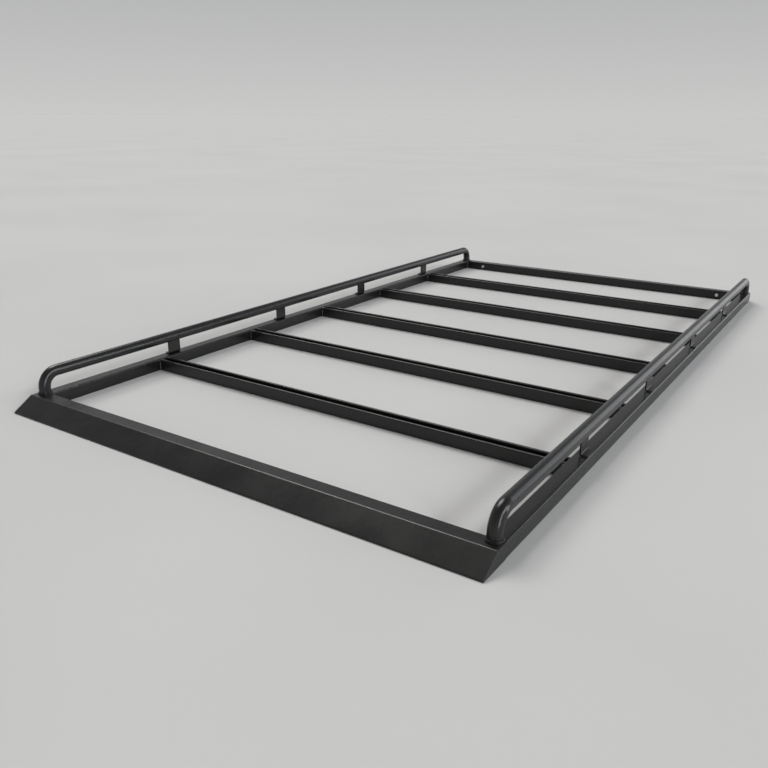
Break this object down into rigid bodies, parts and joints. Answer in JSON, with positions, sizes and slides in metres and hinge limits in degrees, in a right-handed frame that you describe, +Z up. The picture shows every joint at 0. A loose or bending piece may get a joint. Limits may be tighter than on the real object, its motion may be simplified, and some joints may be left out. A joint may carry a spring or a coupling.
{
  "type": "vehicle roof rack",
  "caption": "Flat black roof rack for a van or off-road vehicle: box side rails, slotted channel crossbars, raked front member and round guard tubes along both sides.",
  "frame": {"origin": "middle of the footprint, on the plane that the underside of the frame rests on", "axes": "+X to the right of someone in front of the rack, +Y from the raked front towards the rear, +Z up"},
  "size_m": [1.5, 2.746, 0.1168],
  "materials": {
    "frame_paint": "satin black powder coat on steel",
    "guard_paint": "satin black powder coat on steel tube",
    "black_plastic": "matt black moulded plug"
  },
  "bodies": {
    "root": {"front_fairing": "frame_paint", "front_cheek_left": "frame_paint", "front_cheek_right": "frame_paint", "side_rail_left": "frame_paint", "side_rail_right": "frame_paint", "rail_cap_left": "black_plastic", "rail_cap_right": "black_plastic", "crossbar_1": "frame_paint", "crossbar_2": "frame_paint", "crossbar_3": "frame_paint", "crossbar_4": "frame_paint", "crossbar_5": "frame_paint", "rear_crossbar": "frame_paint", "guard_tube_left": "guard_paint", "guard_tube_right": "guard_paint", "tube_collars": "guard_paint", "tube_bracket_1_left": "frame_paint", "tube_bracket_1_right": "frame_paint", "tube_bracket_2_left": "frame_paint", "tube_bracket_2_right": "frame_paint", "tube_bracket_3_left": "frame_paint", "tube_bracket_3_right": "frame_paint", "tube_bracket_4_left": "frame_paint", "tube_bracket_4_right": "frame_paint"}
  },
  "joints": []
}
